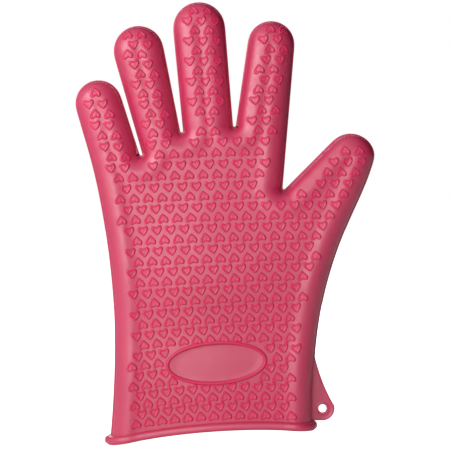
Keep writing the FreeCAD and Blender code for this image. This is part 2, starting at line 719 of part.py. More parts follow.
def build_hearts():
    """Groups of hearts. The back carries the front's pattern, and has no oval rim."""
    heart = heart_solid()
    stub_hearts, groups = [], []
    for name in FINGERS:
        for zone, solids in finger_hearts(heart, name).items():
            if zone == "palm":
                stub_hearts += solids
            else:
                groups.append(heart_group(f"{name}_{zone}_grips", solids + mirrored(solids)))
    palm, cuff = hand_hearts(heart, with_rim=True)
    groups.append(heart_group("palm_grips_front", palm + stub_hearts))
    groups.append(heart_group("cuff_grips_front", cuff))
    palm, cuff = hand_hearts(heart, with_rim=False)
    groups.append(heart_group("palm_grips_back", mirrored(palm + stub_hearts)))
    groups.append(heart_group("cuff_grips_back", mirrored(cuff)))
    return groups


# ---------------------------------------------------------------- build, check and write

def failed(item):
    return "Invalid" in item.State or "Error" in item.State


def write_parts(parts):
    doc.recompute()
    broken = [item.Name for item in doc.Objects if failed(item)]
    broken += [part.Label for part in parts if part.Shape.isNull() or not part.Shape.isValid()]
    if broken:
        raise RuntimeError(f"these objects failed: {sorted(set(broken))}")
    os.makedirs("parts", exist_ok=True)
    for part in parts:
        part.Shape.exportStep(f"parts/{part.Label}.step")
    print(f"wrote {len(parts)} parts")


def main():
    fill_sheet()
    notch = wrist_notch()
    fingers = [build_finger(name) for name in FINGERS]
    stubs = [stub for shells, stub, hollow in fingers]
    hollows = [hollow for shells, stub, hollow in fingers]
    shells = [shell for zones, stub, hollow in fingers for shell in zones.values()]
    palm = build_palm(stubs, hollows, notch)
    cuff, lip = build_cuff(notch)
    parts = [palm, cuff, lip, build_rim(), build_tab()] + shells + build_hearts()
    write_parts(parts)


main()
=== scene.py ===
import json
import math

import bpy
import numpy as np
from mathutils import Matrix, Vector, geometry, kdtree


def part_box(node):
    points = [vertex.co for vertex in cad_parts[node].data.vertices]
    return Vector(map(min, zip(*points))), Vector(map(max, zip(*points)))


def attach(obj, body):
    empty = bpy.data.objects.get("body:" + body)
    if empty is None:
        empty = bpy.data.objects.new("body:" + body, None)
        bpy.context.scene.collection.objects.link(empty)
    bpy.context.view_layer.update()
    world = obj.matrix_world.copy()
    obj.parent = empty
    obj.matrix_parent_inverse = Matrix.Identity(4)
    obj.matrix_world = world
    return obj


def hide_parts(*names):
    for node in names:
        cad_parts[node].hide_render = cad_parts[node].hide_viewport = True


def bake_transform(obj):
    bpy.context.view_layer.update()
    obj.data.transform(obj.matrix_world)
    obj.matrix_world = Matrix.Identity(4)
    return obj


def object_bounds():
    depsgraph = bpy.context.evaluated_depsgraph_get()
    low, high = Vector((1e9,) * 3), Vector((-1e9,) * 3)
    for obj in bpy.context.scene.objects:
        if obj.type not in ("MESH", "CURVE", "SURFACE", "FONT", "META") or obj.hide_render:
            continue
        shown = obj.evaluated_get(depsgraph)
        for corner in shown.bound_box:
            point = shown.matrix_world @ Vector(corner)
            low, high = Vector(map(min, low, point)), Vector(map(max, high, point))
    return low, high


# Silicone glove. Sizes, places and levels come from the CAD frame. The skin is one smooth surface
# over the glove's outline, cut into one piece per joint, with raised hearts laid on it.
# Metres. X runs to the thumb, Z to the fingertips, -Y is the front. 2D points are (x, z).

MM = 0.001
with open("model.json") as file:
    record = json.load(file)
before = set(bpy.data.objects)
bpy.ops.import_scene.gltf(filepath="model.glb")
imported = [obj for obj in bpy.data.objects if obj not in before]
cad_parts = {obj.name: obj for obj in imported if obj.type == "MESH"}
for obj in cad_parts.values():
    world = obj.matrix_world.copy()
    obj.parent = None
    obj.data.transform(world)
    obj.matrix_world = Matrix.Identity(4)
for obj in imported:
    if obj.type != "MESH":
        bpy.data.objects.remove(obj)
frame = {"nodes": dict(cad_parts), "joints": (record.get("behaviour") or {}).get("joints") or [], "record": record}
FINGERS = ("little_finger", "ring_finger", "middle_finger", "index_finger", "thumb")

# -------- sizes

EDGE_ROUNDING = 13.0 * MM
EDGE_POWER = 2.6
WALL = 2.0 * MM
FLANGE_WIDTH = 1.1 * MM
WEB_FLANGE_WIDTH = 1.9 * MM
FLANGE_HALF_THICKNESS = 0.55 * MM
FLANGE_ROWS = (0.0, 0.12, 1.0)
STEP = 2.1 * MM
SIDE_POINTS = 58
BOTTOM_SAMPLES = 24
OUTSET = 0.45 * MM
SAG_DEPTH = 1.0 * MM
SAG_START, SAG_END = 9.0 * MM, 17.0 * MM
BULGE = 0.8 * MM
BULGE_START, BULGE_END = 20.0 * MM, 60.0 * MM

# Where the smoothed slices of the CAD's sides start above the bottom edge, and how far below the
# outer fingers' root joints they end.
SIDE_START = 1.0 * MM
LEFT_SIDE_DROP, RIGHT_SIDE_DROP = 10.0 * MM, 22.0 * MM

# Distances from the flange inward at which the skin's steep edge gets a row of vertices.
EDGE_ROWS = [distance * MM for distance in (0.03, 0.18, 0.5, 1.0, 1.7, 2.7, 4.0)]

# The web on a finger's thumb side: its lowest point in mm, measured from the middle between the two
# root joints beside it, and how far hearts stay away from it.
WEB_RADIUS = 1.3 * MM
WEBS = {
    "little_finger": (1.9, -4.0, 7.4),
    "ring_finger": (-1.0, -0.5, 7.4),
    "middle_finger": (-0.1, 0.6, 7.4),
    "index_finger": (-2.9, -13.2, 9.0),
}

HEART_WIDTH = 6.3 * MM
HEART_HEIGHT = 5.6 * MM
HEART_POINTS = 24
# Rings of a heart from its root to its dished middle: share of the outline, height above the skin
# in mm, and how much of the painted ridge light they carry: a brighter, richer, less shiny pink.
HEART_RINGS = ((1.10, -0.5, 0.0), (1.06, 0.0, 0.3), (1.00, 0.3, 0.8), (0.92, 0.55, 1.0), (0.82, 0.68, 1.0),
               (0.71, 0.64, 1.0), (0.60, 0.48, 0.8), (0.47, 0.34, 0.5), (0.28, 0.40, 0.4))
HEART_MIDDLE = (0.0, 0.44, 0.4)
HEART_TURN = math.radians(7)
STEEPNESS_LIMIT = 1.25

# The lattice of hearts: pairs of an upright row and an inverted one from the top down, columns that
# spread with height, and rows that slope and arch a little, each by its level.
LATTICE_TOP = 174.4 * MM
PAIR_PITCH = 13.23 * MM
PAIR_PITCH_LOSS = 0.154 * MM
PAIR_ROWS = 14
INVERTED_SHARE = 0.45
COLUMN_PITCH, COLUMN_PITCH_GAIN = 7.765 * MM, 0.00483
COLUMN_X, COLUMN_LEAN = 4.9 * MM, -0.0425
COLUMNS = 8
SLOPE_LEVELS, SLOPES = (60 * MM, 130 * MM), (0.056, 0.031)
ARCH_LEVELS, ARCHES = (30 * MM, 90 * MM), (1.2, 0.2)
SIDE_MARGIN, INDEX_MARGIN = 12.2 * MM, 11.4 * MM
LITTLE_FINGER_MARGIN = 2.5 * MM

# Heart rows on the fingers from the tip down, in mm: the first row's distance from the finger's
# highest point, the pitch of two rows of a kind, each row's shift from the axis and heart count.
FINGER_ROWS = {
    "little_finger": (8.4, 12.97, ((0.6, 1), (-1.3, 2), (0.8, 2), (-1.3, 2), (0.9, 2), (0.4, 2), (2.7, 2))),
    "ring_finger": (6.4, 12.0, ((-0.3, 2), (2.1, 2), (-2.7, 2), (-0.2, 2), (2.1, 2), (-1.9, 2), (1.0, 2),
                                (0.1, 2), (2.7, 2), (-1.5, 2), (1.3, 2))),
    "middle_finger": (6.2, 12.25, ((1.3, 2), (1.6, 3), (1.3, 2), (1.4, 3), (1.3, 2), (1.0, 3), (1.0, 2),
                                   (0.9, 3), (0.8, 2), (0.5, 3), (0.4, 2), (1.4, 1), (0.0, 2))),
    "index_finger": (5.9, 12.3, ((2.1, 2), (-1.0, 2), (3.1, 2), (1.8, 2), (-1.7, 2), (2.4, 2), (-1.0, 2),
                                 (-2.2, 2), (2.2, 2), (-2.6, 2), (1.6, 2))),
    "thumb": (10.9, 12.9, ((-3.1, 2), (-0.7, 3), (-0.7, 3), (0.5, 3))),
}
FINGER_HEART_PITCH = 8.4 * MM
FINGER_ROW_SLOPE = 0.03

# Cross-section of the rolled lip in mm: outward from the cuff's skin, upward from its bottom edge.
LIP_SECTION = ((-2.2, 0.0), (0.6, -0.3), (2.2, -0.1), (2.9, 0.5), (3.1, 1.5), (3.0, 3.0), (2.5, 3.9),
               (1.5, 4.5), (0.2, 4.8), (-2.2, 4.9))
# Cross-section of the oval rim in mm: distance inward from its outer edge, height above the cuff.
RIM_SECTION = ((-0.3, -0.6), (0.05, 0.15), (0.35, 0.8), (0.9, 1.15), (1.5, 1.1), (2.0, 0.7), (2.3, 0.1),
               (2.6, -0.6))
RIM_POINTS = 120
RIM_CLEARANCE = 1.2 * MM
# The blank plate is sunk, with its edge between these shares of the rim's half axes.
PLATE_RECESS = 0.35 * MM
PLATE_EDGE = (0.8, 0.9)
LIP_STEP = 1.6 * MM

# The tab's outline: how deep its root sits in the cuff, where its round end meets the hollow outer
# edge, and how far that edge is pulled in. Its border's rows in mm: distance inward, height.
TAB_ROOT_INSET = 2.6 * MM
TAB_TOP_RAISE = 1.0 * MM
TAB_TOUCH_ANGLE = math.radians(14)
TAB_PULL = (3.2 * MM, 4.0 * MM)
TAB_STEP = 1.0 * MM
TAB_FULL_BORDER_ROOM = 9.0 * MM
TAB_HOLE_POINTS = 28
TAB_ROWS = ((0.0, 0.0), (0.0, 0.55), (0.12, 0.95), (0.4, 1.25), (1.2, 1.25), (1.5, 0.95), (1.9, 0.85))

# Shares of the way from one joint to the next at which a finger's pieces part: above the root, then
# above the middle knuckle. The skin beside a finger belongs to it up to a spare width, which grows
# above the root and is wider on the glove's outer sides.
ROOT_CUT_SHARE, MIDDLE_CUT_SHARE = 0.6, 0.5
SPARE, SPARE_GAIN, OUTER_SPARE = 1.3 * MM, 4.0 * MM, 9.0 * MM
SPARE_RISE = (3.0 * MM, 10.0 * MM)
WRIST_CUT_RAISE = 12.0 * MM

# Spans about each finger joint: a root's starts above its joint and ends just below the next piece;
# the other joints' cover a share of the way to the next joint, up to a limit on each side. They are
# worked out, but no piece bends by them.
ROOT_BLEND_START, ROOT_BLEND_CLEARANCE = 2.6 * MM, 0.6 * MM
BLEND_SHARE, BLEND_LIMIT = 0.42, 9.0 * MM

# Each light's place, width and power, in metres and watts.
LIGHTS = {
    "key": ((-0.45, -0.46, 0.4), 0.3, 1.9),
    "front": ((-0.32, -1.2, 0.28), 0.5, 3.9),
    "back": ((0.0, 1.3, 0.45), 0.9, 7),
}
SOFT_LIGHT_FROM = (-0.85, -0.45, 0.35)
SOFT_LIGHT_DARK, SOFT_LIGHT_BRIGHT = 0.0, 0.58

# The picture's height over the glove's, how far below the glove's middle it is centred, the lens.
PICTURE_SHARE = 1.0204
PICTURE_DROP = 0.005
LENS, SENSOR = 100, 36


# -------- small helpers

def smooth(value, low, high):
    share = np.clip((value - low) / (high - low), 0, 1)
    return share * share * (3 - 2 * share)


def unit(vector):
    return vector / np.linalg.norm(vector)


def flat(vector):
    """The (x, z) part of a 3D vector."""
    return np.array([vector[0], vector[2]], float)


def blur(values, width):
    """Moving average that leaves the ends where they are."""
    values = np.asarray(values, float)
    result = values.copy()
    for index in range(len(values)):
        reach = min(width, index, len(values) - 1 - index)
        result[index] = values[index - reach:index + reach + 1].mean(axis=0)
    return result


# -------- what the frame says

def joint_named(name):
    return next(joint for joint in frame["joints"] if joint["name"] == name)


def node_vertices(name):
    mesh = frame["nodes"][name].data
    points = np.zeros(len(mesh.vertices) * 3)
    mesh.vertices.foreach_get("co", points)
    return points.reshape(-1, 3)


def node_edges(name):
    """Both ends of every edge of a CAD node's mesh."""
    mesh = frame["nodes"][name].data
    corners = np.zeros(len(mesh.edges) * 2, int)
    mesh.edges.foreach_get("vertices", corners)
    points = node_vertices(name)
    return points[corners[::2]], points[corners[1::2]]


def crossings(ends, axis, value):
    """Points where edges cross the plane square to an axis at a value."""
    start, end = ends
    crossing = (start[:, axis] - value) * (end[:, axis] - value) < 0
    a, b = start[crossing], end[crossing]
    share = ((value - a[:, axis]) / (b[:, axis] - a[:, axis]))[:, None]
    return a + (b - a) * share


class Slices:
    """Cuts some CAD nodes at a level and tells how far they reach there."""

    def __init__(self, names):
        self.edges = [node_edges(name) for name in names]

    def at(self, level):
        """Lowest x, highest x and greatest depth at a level."""
        cuts = np.vstack([crossings(ends, 2, level) for ends in self.edges])
        return cuts[:, 0].min(), cuts[:, 0].max(), np.abs(cuts[:, 1]).max()


class Finger:
    """A finger's axis, joints, tip circle and width, all read from the frame."""

    def __init__(self, name):
        self.name = name
        self.words = ("root", "tip") if name == "thumb" else ("root", "middle", "tip")
        self.zones = ("base", "tip") if name == "thumb" else ("base", "middle", "tip")
        self.joints = [joint_named(f"{name}_{word}_flex") for word in self.words]
        axis = self.joints[0]["axis"]
        self.across = flat(axis)
        self.along = np.array([-axis[2], axis[0]])
        self.root = flat(self.joints[0]["pos_m"])
        self.half_width = np.abs(self.offset(node_vertices(f"{name}_base")[:, [0, 2]])).max()
        low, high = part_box(f"{name}_tip")
        lean_side = math.copysign(1, self.along[0])
        side_x = high[0] if lean_side > 0 else low[0]
        away = np.array([side_x, high[2]]) - self.root
        # The tip is a circle about a point of the axis that touches the box's top and outer side.
        axis_gap = away[0] * self.along[1] - away[1] * self.along[0]
        self.radius = axis_gap / (lean_side * self.along[1] - self.along[0])
        self.centre = np.array([side_x - lean_side * self.radius, high[2] - self.radius])
        self.reaches = [float(self.reach(flat(joint["pos_m"]))) for joint in self.joints]

    def reach(self, points):
        """Distance above the root joint, along the finger."""
        return (points - self.root) @ self.along

    def offset(self, points):
        """Distance from the finger's axis, towards the thumb side."""
        return (points - self.root) @ self.across

    def beyond(self, point):
        """How far a point lies outside the finger's sides."""
        return abs(self.offset(point)) - self.half_width

    def cuts(self):
        """Reaches where one piece of the finger ends and the next begins."""
        spans = zip(self.reaches, self.reaches[1:], (ROOT_CUT_SHARE, MIDDLE_CUT_SHARE))
        return [low + (high - low) * share for low, high, share in spans]

    def place(self, reach):
        """A 3D point on the axis."""
        x, z = self.root + self.along * reach
        return Vector((x, 0, z))


# -------- outline

def tangent_points(first, second):
    """Ends of the line that touches two circles. A circle is (centre, radius, side), where side is
    -1 for a fingertip, which the outline goes round, and +1 for a web, which it goes into."""
    (centre_a, radius_a, side_a), (centre_b, radius_b, side_b) = first, second
    between = centre_b - centre_a
    length = np.linalg.norm(between)
    opening = math.acos((side_b * radius_b - side_a * radius_a) / length)
    angle = math.atan2(between[1], between[0]) + opening
    normal = np.array([math.cos(angle), math.sin(angle)])
    return centre_a - normal * side_a * radius_a, centre_b - normal * side_b * radius_b


def line_points(start, end, step):
    count = max(2, round(np.linalg.norm(end - start) / step))
    return [start + (end - start) * index / count for index in range(count)]


def arc_points(circle, start, end, step):
    centre, radius, side = circle
    first = math.atan2(*(start - centre)[::-1])
    last = math.atan2(*(end - centre)[::-1])
    sweep = (last - first) % (2 * math.pi) if side > 0 else -((first - last) % (2 * math.pi))
    count = max(6, round(abs(sweep) * radius / step))
    angles = [first + sweep * index / count for index in range(count)]
    return [centre + radius * np.array([math.cos(angle), math.sin(angle)]) for angle in angles]


def web_circle(left, right):
    """The web between two fingers as a circle of the outline."""
    bottom = (left.root + right.root) / 2 + np.array(WEBS[left.name][:2]) * MM
    return bottom + np.array([0, WEB_RADIUS]), WEB_RADIUS, 1


def side_curve(slices, low, high, column):
    """The glove's left (0) or right (1) edge between two levels, as smoothed slices."""
    levels = np.arange(low, high, 2 * STEP)
    points = np.array([(slices.at(level)[column], level) for level in levels])
    points[:, 0] = blur(blur(points[:, 0], 2), 2)
    return list(points)


def bottom_edge():
    """Level of the cuff's arched bottom edge as a polynomial in x."""
    ends = node_edges("cuff_shell")
    low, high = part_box("cuff_shell")
    places = np.linspace(low[0], high[0], BOTTOM_SAMPLES + 2)[1:-1]
    lowest = [crossings(ends, 0, x)[:, 2].min() for x in places]
    return np.poly1d(np.polyfit(places, lowest, 2))


def make_outline(fingers, bottom):
    """Closed but for the cuff's opening: up the left side, round the fingers, down the right side.
    Returns the points and, for each, how close it is to a web (0 to 1)."""
    hand = Slices(["cuff_shell", "palm_shell"])
    little, thumb = fingers[0], fingers[-1]
    low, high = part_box("cuff_shell")
    left = side_curve(hand, bottom(low[0]) + SIDE_START, little.root[1] - LEFT_SIDE_DROP, 0)
    right = side_curve(hand, bottom(high[0]) + SIDE_START, thumb.root[1] - RIGHT_SIDE_DROP, 1)
    left[0][1] = bottom(left[0][0])
    right[0][1] = bottom(right[0][0])
    # The sides' upper ends join the chain of circles as circles of no size.
    chain = [(left[-1], 0.0, 1)]
    for finger, following in zip(fingers, fingers[1:] + [None]):
        chain.append((finger.centre, finger.radius, -1))
        if following:
            chain.append(web_circle(finger, following))
    chain.append((right[-1], 0.0, 1))
    points, webness = list(left[:-1]), [0.0] * (len(left) - 1)
    touches = [tangent_points(first, second) for first, second in zip(chain, chain[1:])]
    for index, (start, end) in enumerate(touches):
        line = line_points(start, end, STEP)
        points += line
        webness += [0.0] * len(line)
        circle = chain[index + 1]
        if circle[1] > 0:
            arc = arc_points(circle, end, touches[index + 1][0], STEP if circle[2] < 0 else STEP / 5)
            points += arc
            webness += [1.0 if circle[2] > 0 else 0.0] * len(arc)
    points += right[::-1]
    webness += [0.0] * len(right)
    points = np.array(points)
    for side in (points[:SIDE_POINTS], points[:-SIDE_POINTS - 1:-1]):
        side[:] = blur(blur(side, 6), 6)
    return resampled(points, np.array(webness))


def resampled(points, webness):
    """Evens out the outline a little and spreads the webness along it."""
    for turn in range(2):
        points[1:-1] = (points[:-2] + 2 * points[1:-1] + points[2:]) / 4
    for turn in range(6):
        webness[1:-1] = np.maximum(webness[1:-1], (webness[:-2] + webness[2:]) / 2 * 0.97)
    return points - inward_normals(points) * OUTSET, webness


def inward_normals(points):
    along = np.gradient(points, axis=0)
    along /= np.linalg.norm(along, axis=1)[:, None]
    normals = np.column_stack([along[:, 1], -along[:, 0]])
    normals[0] = (1, 0)
    normals[-1] = (-1, 0)
    return normals


# -------- the skin as a surface over (x, z)

class Skin:
    """Depth of the glove's front and back skin at any (x, z), from the distance to the outline."""

    def __init__(self, points, widths, slices, rim):
        dense, dense_widths = [], []
        for a, b, width in zip(points, points[1:], widths):
            for share in (0.0, 0.25, 0.5, 0.75):
                dense.append(a + (b - a) * share)
                dense_widths.append(width)
        self.widths = np.array(dense_widths)
        self.tree = kdtree.KDTree(len(dense))
        for index, (x, z) in enumerate(dense):
            self.tree.insert((x, z, 0), index)
        self.tree.balance()
        self.levels = np.arange(-5, 250, 2) * MM
        self.depths = np.array([slices.at(level)[2] for level in self.levels])
        for turn in range(3):
            self.depths = blur(self.depths, 7)
        self.rim = rim

    def inside(self, points):
        """Distance from the flange's inner edge."""
        found = [self.tree.find((x, z, 0)) for x, z in points]
        distances = np.array([hit[2] for hit in found])
        return distances - self.widths[[hit[1] for hit in found]]

    def depth(self, points, inside=None, shrink=0.0):
        """Depth of the outer skin, or of the hollow when shrink is the wall."""
        points = np.asarray(points, float)
        inside = self.inside(points) if inside is None else inside
        full = np.interp(points[:, 1], self.levels, self.depths) - shrink
        rise = np.clip((inside - shrink) / (EDGE_ROUNDING - shrink), 0, 1)
        depth = full * (1 - (1 - rise) ** EDGE_POWER) ** (1 / EDGE_POWER)
        flatness = smooth(inside, SAG_START, SAG_END)
        depth -= SAG_DEPTH * flatness
        return depth + BULGE * smooth(inside, BULGE_START, BULGE_END)

    def front(self, points):
        """Depth of the front skin, with the blank plate's recess."""
        points = np.asarray(points, float)
        plate = 1 - smooth(self.rim.ratio(points), *PLATE_EDGE)
        return self.depth(points) - PLATE_RECESS * plate


class OvalRim:
    """The oval rim's middle, half axes and tilt, read from its CAD node."""

    def __init__(self):
        points = node_vertices("label_rim")[:, [0, 2]]
        self.centre = (points.min(axis=0) + points.max(axis=0)) / 2
        away = points - self.centre
        farthest = away[np.linalg.norm(away, axis=1).argmax()]
        self.along = unit(farthest) * math.copysign(1, farthest[0])
        self.across = np.array([-self.along[1], self.along[0]])
        self.half_length = np.abs(away @ self.along).max()
        self.half_height = np.abs(away @ self.across).max()

    def ratio(self, points, grow=0.0):
        """1 on the outer edge, less inside it."""
        away = np.asarray(points) - self.centre
        along = away @ self.along / (self.half_length + grow)
        across = away @ self.across / (self.half_height + grow)
        return np.sqrt(along**2 + across**2)

    def ring(self, inward):
        """Points of the ellipse that lies inside the outer edge by a distance."""
        angles = np.linspace(0, 2 * math.pi, RIM_POINTS, endpoint=False)
        along = np.outer(np.cos(angles) * (self.half_length - inward), self.along)
        across = np.outer(np.sin(angles) * (self.half_height - inward), self.across)
        return self.centre + along + across


# -------- the skin's mesh

def inner_triangles(loop, skin, bottom):
    """Fills a closed 2D loop with even triangles. Returns all points, the loop's first, and the
    triangles."""
    low, high = loop.min(axis=0), loop.max(axis=0)
    row_height = STEP * math.sqrt(3) / 2
    points = []
    for row in range(int((high[1] - low[1]) / row_height) + 1):
        shift = STEP / 2 * (row % 2)
        for column in range(int((high[0] - low[0]) / STEP) + 1):
            points.append((low[0] + shift + column * STEP, low[1] + row * row_height))
    points = np.array(points)
    clear = skin.inside(points) > EDGE_ROWS[-1] + STEP / 2
    clear &= points[:, 1] > bottom(points[:, 0]) + STEP / 2
    points = points[clear & inside_loop(points, loop)]
    everything = np.vstack([loop, points])
    count = len(loop)
    edges = [(index, (index + 1) % count) for index in range(count)]
    result = geometry.delaunay_2d_cdt([Vector(point) for point in everything], edges, [], 1, 1e-7)
    coordinates, _, triangles, origins = result[:4]
    if len(coordinates) != len(everything):
        raise RuntimeError("the skin's loop crosses itself")
    source = [origin[0] for origin in origins]
    return everything, [tuple(source[corner] for corner in triangle) for triangle in triangles]


def inside_loop(points, loop):
    """True for points inside a closed loop."""
    x, z = points[:, 0], points[:, 1]
    inside = np.zeros(len(points), bool)
    for (ax, az), (bx, bz) in zip(loop, np.roll(loop, -1, axis=0)):
        crosses = (az > z) != (bz > z)
        if az != bz:
            inside ^= crosses & (x < (bx - ax) * (z - az) / (bz - az) + ax)
    return inside


class SkinMesh:
    """Vertices and faces of the whole skin: outer front and back, and the hollow behind them.

    Rows of vertices follow the outline from the flange's outer edge inward, and even triangles
    fill the rest. Front and back share row 0."""

    def __init__(self, outline, widths, skin, bottom):
        self.outline, self.widths, self.skin, self.bottom = outline, widths, skin, bottom
        self.normals = inward_normals(outline)
        self.columns = len(outline)
        distances = [widths * share for share in FLANGE_ROWS] + [widths + depth for depth in EDGE_ROWS]
        rows = [self.row(distance) for distance in distances]
        self.row_count = len(rows)
        left, right = rows[-1][0, 0], rows[-1][-1, 0]
        span = np.linspace(right, left, round((right - left) / STEP) + 1)[1:-1]
        base = np.column_stack([span, bottom(span)])
        filling, triangles = inner_triangles(np.vstack([rows[-1], base]), skin, bottom)
        self.flat = np.vstack(rows[:-1] + [filling])
        self.count = len(self.flat)
        self.half = 2 * self.count - self.columns
        self.front_faces = self.strip_faces() + self.oriented(triangles)
        front_bottom = self.bottom_indices(len(base))
        self.bottom_loop = front_bottom + [self.on_back(index) for index in front_bottom[::-1][1:-1]]

    def row(self, distances):
        """The outline drawn in by a distance at each point, with both ends on the bottom edge."""
        row = self.outline + self.normals * distances[:, None]
        row[0, 1] = self.bottom(row[0, 0])
        row[-1, 1] = self.bottom(row[-1, 0])
        return row

    def row_span(self, number):
        return slice(number * self.columns, (number + 1) * self.columns)

    def index(self, column, row):
        return row * self.columns + column

    def on_back(self, index):
        """The back's vertex opposite a front vertex. Row 0 is its own back."""
        return index if index < self.columns else int(index) + self.count - self.columns

    def strip_faces(self):
        """Quads between neighbouring rows."""
        corners = ((0, 0), (0, 1), (1, 1), (1, 0))
        return [tuple(self.index(column + right, row + inward) for right, inward in corners)
                for row in range(self.row_count - 1) for column in range(self.columns - 1)]

    def oriented(self, triangles):
        """Counter-clockwise triangles, numbered after the strip's rows."""
        base = self.index(0, self.row_count - 1)
        faces = []
        for a, b, c in triangles:
            a, b, c = a + base, b + base, c + base
            ab, ac = self.flat[b] - self.flat[a], self.flat[c] - self.flat[a]
            faces.append((a, b, c) if ab[0] * ac[1] - ab[1] * ac[0] > 0 else (a, c, b))
        return faces

    def bottom_indices(self, base_count):
        """Front vertices along the bottom edge, from left to right."""
        left = [self.index(0, row) for row in range(self.row_count)]
        start = self.index(self.columns, self.row_count - 1)
        base = list(range(start, start + base_count))[::-1]
        right = [self.index(self.columns - 1, row) for row in range(self.row_count)][::-1]
        return left + base + right

    def outer_depths(self):
        """Depth of every vertex on the front and on the back. The steep edge's rows stay a hair
        above the flange, so that no face is folded."""
        front, back = self.skin.front(self.flat), self.skin.depth(self.flat)
        for depth in (front, back):
            depth[self.row_span(0)] = 0
            depth[self.row_span(1)] = FLANGE_HALF_THICKNESS
            depth[self.row_span(2)] = FLANGE_HALF_THICKNESS * 1.02
            for number, distance in enumerate(EDGE_ROWS, start=len(FLANGE_ROWS)):
                span = self.row_span(number)
                steep = self.skin.depth(self.flat[span], np.full(self.columns, distance))
                depth[span] = np.maximum(steep, FLANGE_HALF_THICKNESS * 1.05)
        return front, back

    def hollow_points(self):
        """(x, z) and depth of the hollow's vertices: the rows move in behind the wall, and the
        rest keeps its (x, z)."""
        points = self.flat.copy()
        distances = np.linspace(WALL, EDGE_ROWS[-1], self.row_count)
        for number, distance in enumerate(distances):
            points[self.row_span(number)] = self.row(self.widths + distance)
        inside = self.skin.inside(points)
        for number, distance in enumerate(distances):
            inside[self.row_span(number)] = distance
        depth = self.skin.depth(points, inside, shrink=WALL)
        depth[self.row_span(0)] = 0
        return points, np.maximum(depth, 0)

    def vertices(self):
        """Outer front and back, then the hollow's front and back, which lie `half` further on."""
        hollow, depth = self.hollow_points()
        halves = []
        for (x, z), front, back in ((self.flat.T, *self.outer_depths()), (hollow.T, depth, depth)):
            halves += [np.column_stack([x, -front, z]), np.column_stack([x, back, z])[self.columns:]]
        return np.vstack(halves)

    def faces(self):
        """Outer faces of the front, then of the back."""
        back = [tuple(self.on_back(corner) for corner in face[::-1]) for face in self.front_faces]
        return self.front_faces + back

    def behind(self, face):
        """The hollow's face behind an outer face."""
        return tuple(corner + self.half for corner in face[::-1])


# -------- hearts and the oval rim, laid on the skin

def heart_outline():
    """A heart's outline around its middle, point down, in metres."""
    angles = np.linspace(0, 2 * math.pi, HEART_POINTS, endpoint=False) + math.pi / HEART_POINTS
    x = 15 * np.sin(angles) - 1.3 * np.sin(3 * angles)
    z = 13 * np.cos(angles) - 4.0 * np.cos(2 * angles) - np.cos(3 * angles) - np.cos(4 * angles)
    z -= (z.max() + z.min()) / 2
    return np.column_stack([x / np.ptp(x) * HEART_WIDTH, z / np.ptp(z) * HEART_HEIGHT])


def steepness(points, surface):
    """How much longer the skin is than its shadow at (x, z) points, up to a limit."""
    small = 0.3 * MM
    slope_x = (surface(points + [small, 0]) - surface(points - [small, 0])) / (2 * small)
    slope_z = (surface(points + [0, small]) - surface(points - [0, small])) / (2 * small)
    return np.minimum(np.sqrt(1 + slope_x**2 + slope_z**2), STEEPNESS_LIMIT)


def laid(flat_points, heights, surface, front):
    """Lifts (x, z) points off the skin, straight out of the parting plane as a mould draws them."""
    depth = surface(flat_points) + heights * steepness(flat_points, surface)
    return np.column_stack([flat_points[:, 0], -depth if front else depth, flat_points[:, 1]])


def ring_faces(rings, count, start):
    """Quads between neighbouring rings of `count` vertices each."""
    faces = []
    for near in range(start, start + (rings - 1) * count, count):
        far = near + count
        for index in range(count):
            following = (index + 1) % count
            faces.append((near + index, near + following, far + following, far + index))
    return faces


def closed_ring_faces(rings, count):
    """The same, with the last ring joined to the first."""
    total = rings * count
    return [tuple(corner % total for corner in face) for face in ring_faces(rings + 1, count, 0)]


def heart_part(centre, upright, slope, surface, front):
    """One heart: a raised ridge round a dished middle, closed underneath."""
    shape = heart_outline() * (1 if upright else -1)
    turn = slope + HEART_TURN
    shape = shape @ np.array([[math.cos(turn), -math.sin(turn)], [math.sin(turn), math.cos(turn)]]).T
    rings = np.array(HEART_RINGS)
    single = np.array([HEART_MIDDLE, HEART_RINGS[0]])
    flat_points = np.vstack([centre + shape * share for share in rings[:, 0]] + [[centre], [centre]])
    heights = np.concatenate([np.repeat(rings[:, 1], HEART_POINTS), single[:, 1]]) * MM
    # Each ring's share of the painted ridge light.
    richness = np.concatenate([np.repeat(rings[:, 2], HEART_POINTS), single[:, 2]])
    faces = ring_faces(len(rings), HEART_POINTS, 0)
    top = len(rings) * HEART_POINTS
    last, root = top - HEART_POINTS, top + 1
    for index in range(HEART_POINTS):
        following = (index + 1) % HEART_POINTS
        faces.append((last + index, last + following, top))
        faces.append((following, index, root))
    # The outline runs clockwise seen from the front, so the front's faces are turned round.
    faces = [face[::-1] for face in faces] if front else faces
    return part(laid(flat_points, heights, surface, front), faces, richness)


